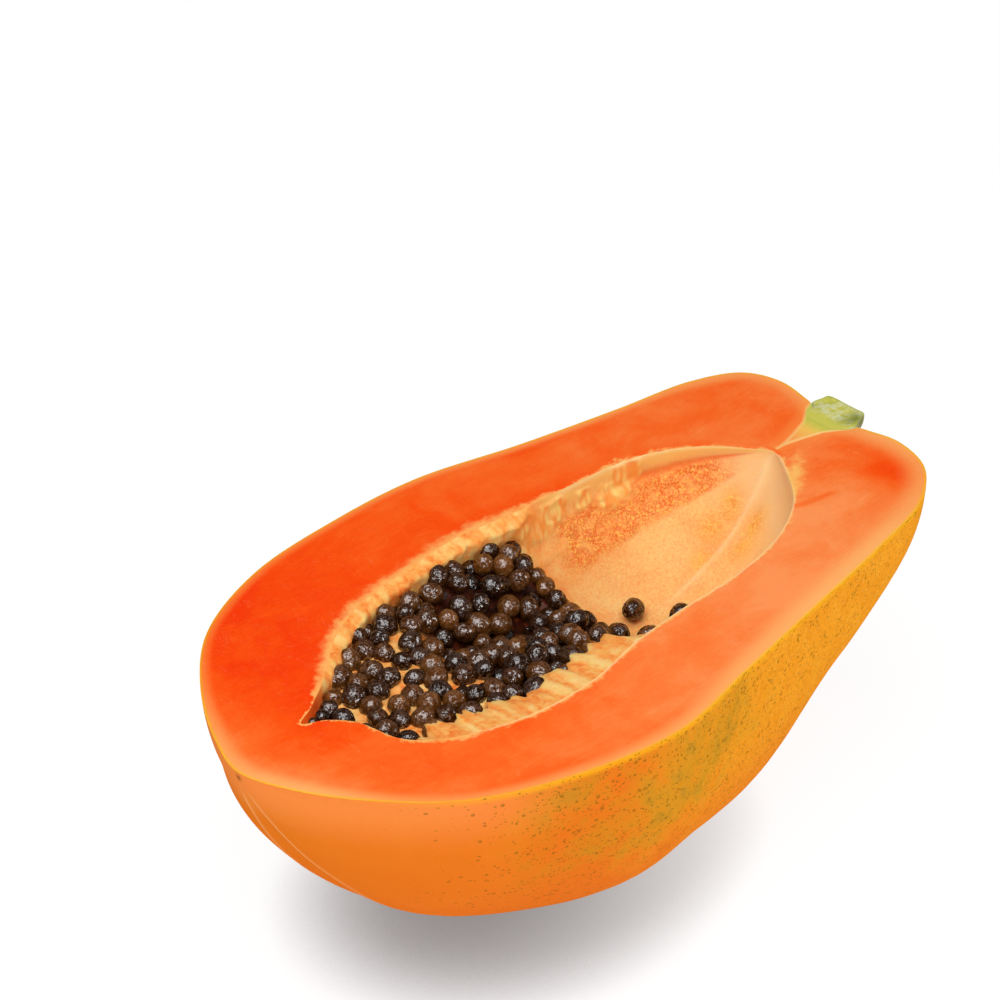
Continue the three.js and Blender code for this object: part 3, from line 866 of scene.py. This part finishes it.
def flesh_paleness(x, y):
    """0 where the flesh is deepest red, on the far side by the blossom end, to 1 where it is palest."""
    far = lerp(0.02, 0.6, clamp((x - 20) / 150))
    near = lerp(0.4, 0.98, clamp((x - 20) / 120)) - 0.3 * bell(x - 200, 16)
    tip = 0.65 * bell(x, 16)
    ripest = 0.42 * bell(math.hypot((x - 199) / 7, (y + 26) / 9), 1)
    crease = 0.36 * bell(y + 21 + 0.22 * (x - 172), 1.1) * between(x, 172, 181, 4)
    return clamp(lerp(far, near, smoothstep(-y, -16, 24)) + tip - ripest - crease)


def rim_band_width(x, y):
    """Width in millimetres of the paler band inside the skin."""
    near = lerp(4.5, 8.5, smoothstep(x, 40, 140))
    far = 3.4 + 2.2 * smoothstep(x, 172, 198)
    return lerp(far, near, smoothstep(-y, -10, 20)) + 3 * bell(x, 14)


def pulp_reach(x, far_side):
    """How far in millimetres the pulp's pale edge reaches onto the cut face."""
    reach = lerp(lerp(1.6, 3.8, far_side), 1.1, smoothstep(x, 112, 136))
    return lerp(0.6, reach, smoothstep(x, 28, 42))


def stalk_radius(x):
    for (x0, r0), (x1, r1) in zip(STEM_PROFILE, STEM_PROFILE[1:]):
        if x <= x1:
            return lerp(r0, r1, clamp((x - x0) / max(x1 - x0, 1e-6)))
    return 0.0


def tree_of(outline):
    """The outline's points on the cut face, for finding which is nearest."""
    points = [place(x, middle + side * half_width, 0)
              for x, middle, half_width in rings_of(outline, NEAREST_STEPS) for side in (-1, 1)]
    tree = kdtree.KDTree(len(points))
    for i, point in enumerate(points):
        tree.insert(point, i)
    tree.balance()
    return tree


def papaya_half():
    bm = bmesh.new()
    layers = {name: bm.verts.layers.float.new(name) for name in FLOATS}
    lie = bm.verts.layers.float_vector.new("lie")

    def paint(vert, shares):
        for name, value in shares.items():
            vert[layers[name]] = value

    def rind_vert(vert, ring, angle):
        x, _, half_width = RIND_RINGS[ring]
        highlit_welt = 0.0
        for at, reach in WELTS:
            line = bell((angle - at) * half_width, WELT_WIDTH) * (1 - smoothstep(x, 0.6 * reach, reach))
            highlit_welt = max(highlit_welt, line * smoothstep(x, 0.4, 2))
        sunk = math.sin(angle)
        dents = DENT_HEIGHT * ripple(x / DENT_SIZE, angle * half_width / DENT_SIZE, 3.3)
        dents *= clamp(half_width / 20) * sunk
        out = Vector((0, math.cos(angle), -sunk))
        point = rind_point(RIND_RINGS[ring], angle) + out * (dents + WELT_HEIGHT * highlit_welt)
        vert.co = place(*point)
        vert.co.z = max(vert.co.z, FLOOR)
        vert[lie] = MM * Vector((x, (angle - math.pi) * max(half_width, 1), 0))
        paint(vert, {"highlit_welt": 0.6 * highlit_welt, "scar": bell((point - SCAR_AT).length, SCAR_REACH)})

    def cavity_vert(vert, ring, angle):
        x, middle, half_width = CAVITY_RINGS[ring]
        height, shares = cavity_detail(x, middle, half_width, angle)
        vert.co = place(*cavity_point(CAVITY_RINGS[ring], angle, height))
        vert[lie] = MM * Vector((x, angle * half_width, 0))
        paint(vert, shares)

    sheet(bm, RINGS, RIND_SIDES, lambda share: math.pi * share, rind_vert)
    rind_faces = set(bm.faces)
    outer_rims = rims_of(bm, set(), RIND_RINGS)

    # The rows of the cavity are closest under its rims.
    sheet(bm, RINGS, CAVITY_SIDES,
          lambda share: math.pi * share - 0.3 * math.sin(2 * math.pi * share), cavity_vert)
    for face in bm.faces:
        face.material_index = RIND if face in rind_faces else CAVITY
    inner_rims = rims_of(bm, {edge for rim in outer_rims for edge in rim}, CAVITY_RINGS)

    for outer, inner in zip(outer_rims, inner_rims):
        for face in bmesh.ops.bridge_loops(bm, edges=outer + inner)["faces"]:
            face.material_index = CUT
    rims = {edge for pair in (*outer_rims, *inner_rims) for edge in pair}
    for edge in rims:
        edge.smooth = False
    across = [edge for edge in bm.edges
              if edge not in rims and any(face.material_index == CUT for face in edge.link_faces)]
    bmesh.ops.subdivide_edges(bm, edges=across, cuts=CUT_STEPS, use_grid_fill=True)

    rind_line, cavity_line = tree_of(OUTLINE), tree_of(CAVITY_OUTLINE)
    for vert in bm.verts:
        if not any(face.material_index == CUT for face in vert.link_faces):
            continue
        x, y, _ = unplace(vert.co)
        from_skin = rind_line.find(vert.co)[2] / MM
        far_side = smoothstep(y, -6, 8)
        paint(vert, {
            "from_skin": from_skin,
            "rim_band": from_skin / rim_band_width(x, y),
            "from_cavity": cavity_line.find(vert.co)[2] / MM,
            "from_root": abs(y - STEM_Y) - stalk_radius(x) + 30 * (1 - smoothstep(x, 182, 186)),
            "pulp_reach": pulp_reach(x, far_side),
            "paleness": flesh_paleness(x, y),
            "film": (1 - far_side) * smoothstep(x, 44, 60),
            "gold": bell(y + 13.2 - 0.73 * (x - 177), 3.6) * bell(x - 180, 9),
        })
    bmesh.ops.recalc_face_normals(bm, faces=bm.faces)
    return piece_of("papaya_half", bm, [skin_finish(), flesh_finish(), pulp_finish()],
                    ["fruit"])


# ---- Seeds --------------------------------------------------------------------------------------

def heap_top(x, y):
    front = FRONT_X + FRONT_SLANT * y - FRONT_BEND * min(y, 0) ** 2
    dent = math.hypot((x - DENT_X) / DENT_ALONG, (y - DENT_Y) / DENT_ACROSS)
    slope_share = lerp(1, SLOPE_FAR_SHARE, smoothstep(y, *SLOPE_FAR_SIDE))
    return (
        HEAP_TOP
        - SLOPE_DROP * smoothstep(x, SLOPE_FROM, SLOPE_TO) * slope_share
        - DENT_DEPTH * bell(dent, 1)
        - FRONT_DROP * smoothstep(x, front - FRONT_LENGTH / 2, front + FRONT_LENGTH / 2)
    )


def inside_wall(x, y, z):
    """How far a point is inside the cavity wall, measured along the spoke from the cavity's middle."""
    _, middle, half_width = ring_at(WALL_RINGS, x)
    rise = -z / cavity_depth_ratio(x)
    angle = math.atan2(rise, y - middle)
    return half_width - pulp_height(x, half_width, angle) - math.hypot(y - middle, rise)


def in_the_way(seeds, centre, size):
    """Of the seeds that a new one would cut into, that which it cuts into most, and their room."""
    worst, needed, least = None, 0, 1
    for other, other_size, _, _ in seeds:
        room = SEED_ROOM * SEED_WIDTH * (size + other_size) / 2
        share = math.dist(centre, other) / room
        if share < least:
            worst, needed, least = other, room, share
    return worst, needed


def settled(seeds, x, y, drop, size):
    """Where a seed dropped at x and y comes to rest, sliding off those in its way."""
    for _ in range(SEED_SLIDES):
        z = heap_top(x, y) - size * SEED_WIDTH / 2 - drop
        if inside_wall(x, y, z) < (SEED_TO_FAR_WALL if y > 0 else SEED_TO_NEAR_WALL):
            return None
        other, room = in_the_way(seeds, (x, y, z), size)
        if other is None:
            return (x, y, z)
        apart = math.hypot(x - other[0], y - other[1])
        wanted = SLIDE_CLEARANCE * math.sqrt(max(room**2 - (z - other[2]) ** 2, 0))
        x = other[0] + (x - other[0]) * wanted / apart
        y = other[1] + (y - other[1]) * wanted / apart
    return None


def heap_seeds():
    """Seeds dropped at random over the heap: each comes to rest among those on top or under them."""
    random = seeded_random(SEED_DRAW)
    seeds = [((x, y, -0.5 * SEED_WIDTH * size), size, SLIT_SEED_SPIN, 0) for x, y, size in SLIT_SEEDS]
    for _ in range(SEED_DRAWS):
        x = lerp(HEAP_START, HEAP_END, next(random))
        y = HEAP_HALF_WIDTH * (2 * next(random) - 1)
        lift = SEED_LIFT * next(random)
        size = lerp(*SEED_SIZES, next(random))
        spin = math.pi * next(random)
        tilt = math.pi * next(random)
        for layer in range(SEED_LAYERS if x > DEEP_FROM else 1):
            centre = settled(seeds, x, y, lift + LAYER_DROP * layer, size)
            if centre:
                seeds.append((centre, size, spin, tilt))
                break
    return seeds


# Uneven swellings of a seed: height and size.
SWELL, SMALL_SWELL = (0.16, 2.4), (0.09, 1.1)
# A seed's tone: at least, and how much more by chance. A seed deep in the heap is given a dark tone, a
# painted shade, and drawn coarsely.
HEAP_TONE, LOOSE_TONE, BURIED_SHADE_TONE, BURIED_FROM = (0.2, 0.6), (0.35, 0.3), 0.1, (5, 8)
COARSE, FINE, FINEST = 2, 3, 4


def add_seed(bm, seed, tone, fineness):
    """One wrinkled seed, with uneven swellings."""
    centre, size, spin, tilt = seed
    radii = MM * size * 0.5 * Vector((SEED_LENGTH, SEED_WIDTH, SEED_WIDTH))
    turn = Matrix.Rotation(spin, 4, "Z") @ Matrix.Rotation(tilt, 4, "Y")
    middle = place(*centre)
    matrix = Matrix.Translation(middle) @ turn @ Matrix.Diagonal((*radii, 1))
    made = bmesh.ops.create_icosphere(bm, subdivisions=fineness, radius=1, matrix=matrix)["verts"]
    tones = bm.verts.layers.float["tone"]
    for vert in made:
        local = unplace(vert.co)
        swell = sum(height * ripple(*(local / size)) for height, size in (SWELL, SMALL_SWELL))
        vert.co += MM * swell * (vert.co - middle).normalized()
        vert[tones] = tone


def seed_mesh():
    bm = bmesh.new()
    bm.verts.layers.float.new("tone")
    return bm


def seed_heap():
    bm = seed_mesh()
    tones = seeded_random(SEED_DRAW + 1)
    for seed in heap_seeds():
        x, y, z = seed[0]
        buried = smoothstep(heap_top(x, y) - z, *BURIED_FROM)
        # Painted shade: seeds deep in the heap get a darker tone.
        tone = lerp(HEAP_TONE[0] + HEAP_TONE[1] * next(tones), BURIED_SHADE_TONE, buried)
        add_seed(bm, seed, tone, COARSE if buried > 0.5 else FINE)
    return piece_of("seed_heap", bm, [seed_finish()], ["seeds"])


BED_ALONG, BED_ACROSS = 110, 64
BED_THICKNESS = 2.0
# How far under the seeds' tops the bed lies, at the blossom end and where the heap is deep.
BED_DEPTHS, DEEP_BED = (4.2, 6.4), (62, 82)
BED_LUMP, BED_SMALL_LUMP = (1.1, 5), (0.5, 1.8)


def seed_bed():
    """The pulp that the seeds lie in, following the heap and tucked into the cavity wall."""
    bm = bmesh.new()
    dark = bm.verts.layers.float.new("dark")
    made = bmesh.ops.create_grid(bm, x_segments=BED_ALONG, y_segments=BED_ACROSS, size=0.5)["verts"]
    for vert in made:
        x = lerp(BED_START, HEAP_END, vert.co.x + 0.5)
        _, middle, half_width = ring_at(CAVITY_RINGS, x)
        y = middle + 2 * vert.co.y * half_width
        deep = smoothstep(x, *DEEP_BED)
        lumps = sum(height * ripple(x / size, y / size) for height, size in (BED_LUMP, BED_SMALL_LUMP))
        z = heap_top(x, y) - lerp(*BED_DEPTHS, deep) + lumps
        while inside_wall(x, y, z) < -0.5 and abs(y - middle) > 1:
            y = middle + (y - middle) * 0.97
        vert.co = place(x, y, z)
        # Painted shade: the bed is made dark in the deep hollow, away from the wall.
        vert[dark] = clamp(deep * smoothstep(inside_wall(x, y, z), 2, 7))
    bmesh.ops.solidify(bm, geom=bm.faces, thickness=BED_THICKNESS * MM)
    bmesh.ops.recalc_face_normals(bm, faces=bm.faces)
    sort_parts(bm)
    return piece_of("seed_bed", bm, [bed_finish()], [])


def loose_seeds(finish):
    tones = seeded_random(SEED_DRAW + 2)
    for number, (x, degrees) in enumerate(LOOSE_SEEDS):
        bm = seed_mesh()
        angle = math.radians(degrees)
        ring = ring_at(CAVITY_RINGS, x)
        pulp = pulp_height(x, ring[2], angle) + SEED_WIDTH / 2
        seed = (cavity_point(ring, angle, pulp), 1, 0.5 + number, 0.2 * number)
        add_seed(bm, seed, LOOSE_TONE[0] + LOOSE_TONE[1] * next(tones), FINEST)
        piece_of(f"single_seed_{number + 1}", bm, [finish], [f"loose_seed_{number + 1}"])


# ---- Stalk --------------------------------------------------------------------------------------

# The stalk outside the flesh, tucked a little into it: distance from the blossom tip, and radius.
STALK_PROFILE = [
    (202.6, 0), (202.9, 4.2), (204.5, 6.4), (207.4, 8.6), (209.6, 8.3), (212, 7.7), (213.9, 7.4),
    (214.3, 6.6), (214.35, 0),
]
STALK_RINGS = 44
STALK_SIDES = 36
STALK_EDGE = 0.9
# Where the cut is darker green: x, y and reach either way.
STALK_SHADES = [(211, -3.6, 2.2, 2.6), (207.2, 9.6, 1.3, 1.6)]
STALK_NARROWS, STALK_WAIST = 0.2, 0.22
STALK_ROUGHNESS, STALK_GRAIN, STALK_SAWN = 0.35, 0.18, 0.3


def stalk():
    """The cut half of the stalk: its skin goes round under the cut, which is just proud of the flesh."""
    bm = bmesh.new()
    edge = bm.verts.layers.float.new("edge")
    shade = bm.verts.layers.float.new("shade")
    rings = rings_of([(x, STEM_Y + r, STEM_Y - r) for x, r in STALK_PROFILE], STALK_RINGS)

    def skin_vert(vert, ring, angle):
        x, middle, radius = rings[ring]
        sunk = math.sin(angle)
        narrowed = 1 - STALK_NARROWS * smoothstep(x, 207, 213) * smoothstep(angle, 1.2, math.pi)
        narrowed -= STALK_WAIST * bell(x - 206.9, 1.3) * (1 - smoothstep(angle, 0.7, 1.5))
        rough = STALK_ROUGHNESS * ripple(x / 2.6, angle * 2.2, 2.2)
        rough += STALK_GRAIN * ripple(x / 0.9, angle * 6, 5.1)
        r = radius * narrowed + rough * min(radius / 4, 1) * (0.3 + 0.7 * sunk)
        sawn = STALK_SAWN * ripple(angle * 2, r / 3, 8.1) * smoothstep(x, 212, 214) * min(radius / 4, 1)
        vert.co = place(x + sawn, middle + r * math.cos(angle), CUT_PROUD - r * sunk)

    sheet(bm, STALK_RINGS, STALK_SIDES, lambda share: math.pi * share, skin_vert)
    for face in bm.faces:
        face.material_index = 1
    rim = [line for line in bm.edges if line.is_boundary]
    cut = bmesh.ops.edgeloop_fill(bm, edges=rim)["faces"]
    bmesh.ops.inset_region(bm, faces=cut, thickness=MM * STALK_EDGE, use_even_offset=True)
    for line in rim:
        line.smooth = False
        for vert in line.verts:
            vert[edge] = smoothstep(unplace(vert.co).x, 207, 208.5)
    for vert in bm.verts:
        x, y, _ = unplace(vert.co)
        vert[shade] = max(bell(math.hypot((x - px) / px_reach, (y - py) / py_reach), 1)
                          for px, py, px_reach, py_reach in STALK_SHADES)
    bmesh.ops.triangulate(bm, faces=cut)
    bmesh.ops.recalc_face_normals(bm, faces=bm.faces)
    return piece_of("stalk", bm, [stalk_cut_finish(), stalk_skin_finish()], ["stem"])


# ---- Stage --------------------------------------------------------------------------------------

# How far round the fruit the white paper is shaded, at its blossom end and at its stalk.
SHADE_REACH = (0.035, 0.022)
SHADE_TURNS = (-0.075, 0.05)
FLOOR_HALF = 4
SHADED, HALF_SHADED, WHITE = (0.03, 0.03, 0.03, 1), (0.32, 0.32, 0.32, 1), (0.92, 0.92, 0.92, 1)
STALK_END_LIGHTER = 0.65
ROOM_LIGHT = 0.14
# Name, place, aim, width, power and colour.
LAMPS = [
    ("overhead", (-0.28, -0.2, 1.05), (0, 0, 0.05), 1.3, 12.4, (0.96, 0.98, 1)),
    ("front_fill", (-0.35, -1.2, 0.5), (0, 0, 0.05), 0.5, 3.6, (1, 1, 1)),
    ("side_fill", (1.0, -0.9, 0.4), (0, 0, 0.04), 0.5, 2.6, (1, 1, 1)),
    ("tip_fill", (-1.1, -0.2, 0.45), (0, 0, 0.06), 0.5, 1.1, (1, 1, 1)),
]


def paper_finish():
    """White paper that glows, less so where the fruit is close above it."""
    s = Shading("white_paper")
    along = s.fade(s.split(s.object_place())[0], *SHADE_TURNS)
    by_tip, by_stalk = SHADE_REACH
    reach = s.plus(s.times(along, by_stalk - by_tip), by_tip)
    shade = s.node("AmbientOcclusion", {"Distance": reach}, samples=16).outputs["AO"]
    glow = s.ramp(shade, [(0.0, SHADED), (0.4, HALF_SHADED), (0.8, WHITE)])
    return s.finish(
        Base_Color=(0.12, 0.12, 0.12, 1), Roughness=0.9, Specular_IOR_Level=0.0,
        Emission_Color=s.layered(glow, (along, STALK_END_LIGHTER, WHITE)), Emission_Strength=1.0,
    )


def studio():
    bm = bmesh.new()
    bmesh.ops.create_grid(bm, x_segments=2, y_segments=2, size=FLOOR_HALF)
    mesh = bpy.data.meshes.new("studio_floor")
    bm.to_mesh(mesh)
    bm.free()
    mesh.materials.append(paper_finish())
    floor = in_scene("studio_floor", mesh)

    world = bpy.data.worlds.new("studio")
    world.use_nodes = True
    background = world.node_tree.nodes["Background"].inputs
    background["Color"].default_value = (1, 1, 1, 1)
    background["Strength"].default_value = ROOM_LIGHT
    bpy.context.scene.world = world
    bpy.context.scene.view_settings.view_transform = "Standard"

    for name, stands_at, aim, width, power, colour in LAMPS:
        data = bpy.data.lights.new(name, "AREA")
        data.shape = "DISK"
        data.size = width
        data.energy = power
        data.color = colour
        lamp = in_scene(name, data)
        lamp.location = stands_at
        lamp.rotation_euler = (Vector(aim) - Vector(stands_at)).to_track_quat("-Z", "Y").to_euler()


# The camera looks at the middle of the cut face from the near side and the blossom end.
CAMERA_TARGET = (105, 0, 0)
CAMERA_DISTANCE = 1.05
CAMERA_AZIMUTH = math.radians(-41.875)
CAMERA_HEIGHT = math.radians(35.846)
CAMERA_ROLL = math.radians(-3)
CAMERA_LENS, CAMERA_SENSOR = 149.8, 36
# Where the target stands in the frame, as shares of its width from the middle, rightwards and up.
TARGET_RIGHT, TARGET_UP = 0.0567, -0.0839


def camera():
    data = bpy.data.cameras.new("camera")
    data.lens = CAMERA_LENS
    data.sensor_width = CAMERA_SENSOR
    data.sensor_fit = "HORIZONTAL"
    holder = in_scene("camera", data)
    forward = Vector((
        -math.sin(CAMERA_AZIMUTH) * math.cos(CAMERA_HEIGHT),
        math.cos(CAMERA_AZIMUTH) * math.cos(CAMERA_HEIGHT),
        -math.sin(CAMERA_HEIGHT),
    ))
    turn = forward.to_track_quat("-Z", "Y").to_matrix() @ Matrix.Rotation(CAMERA_ROLL, 3, "Z")
    holder.location = place(*CAMERA_TARGET) - CAMERA_DISTANCE * forward
    per_width = data.sensor_width / data.lens
    aside = Matrix.Rotation(math.atan(TARGET_RIGHT * per_width), 3, "Y")
    tilted = Matrix.Rotation(-math.atan(TARGET_UP * per_width), 3, "X")
    holder.rotation_euler = (turn @ tilted @ aside).to_euler()
    bpy.context.scene.camera = holder


camera()
studio()
papaya_half()
heap = seed_heap()
loose_seeds(heap.data.materials[0])
seed_bed()
stalk()
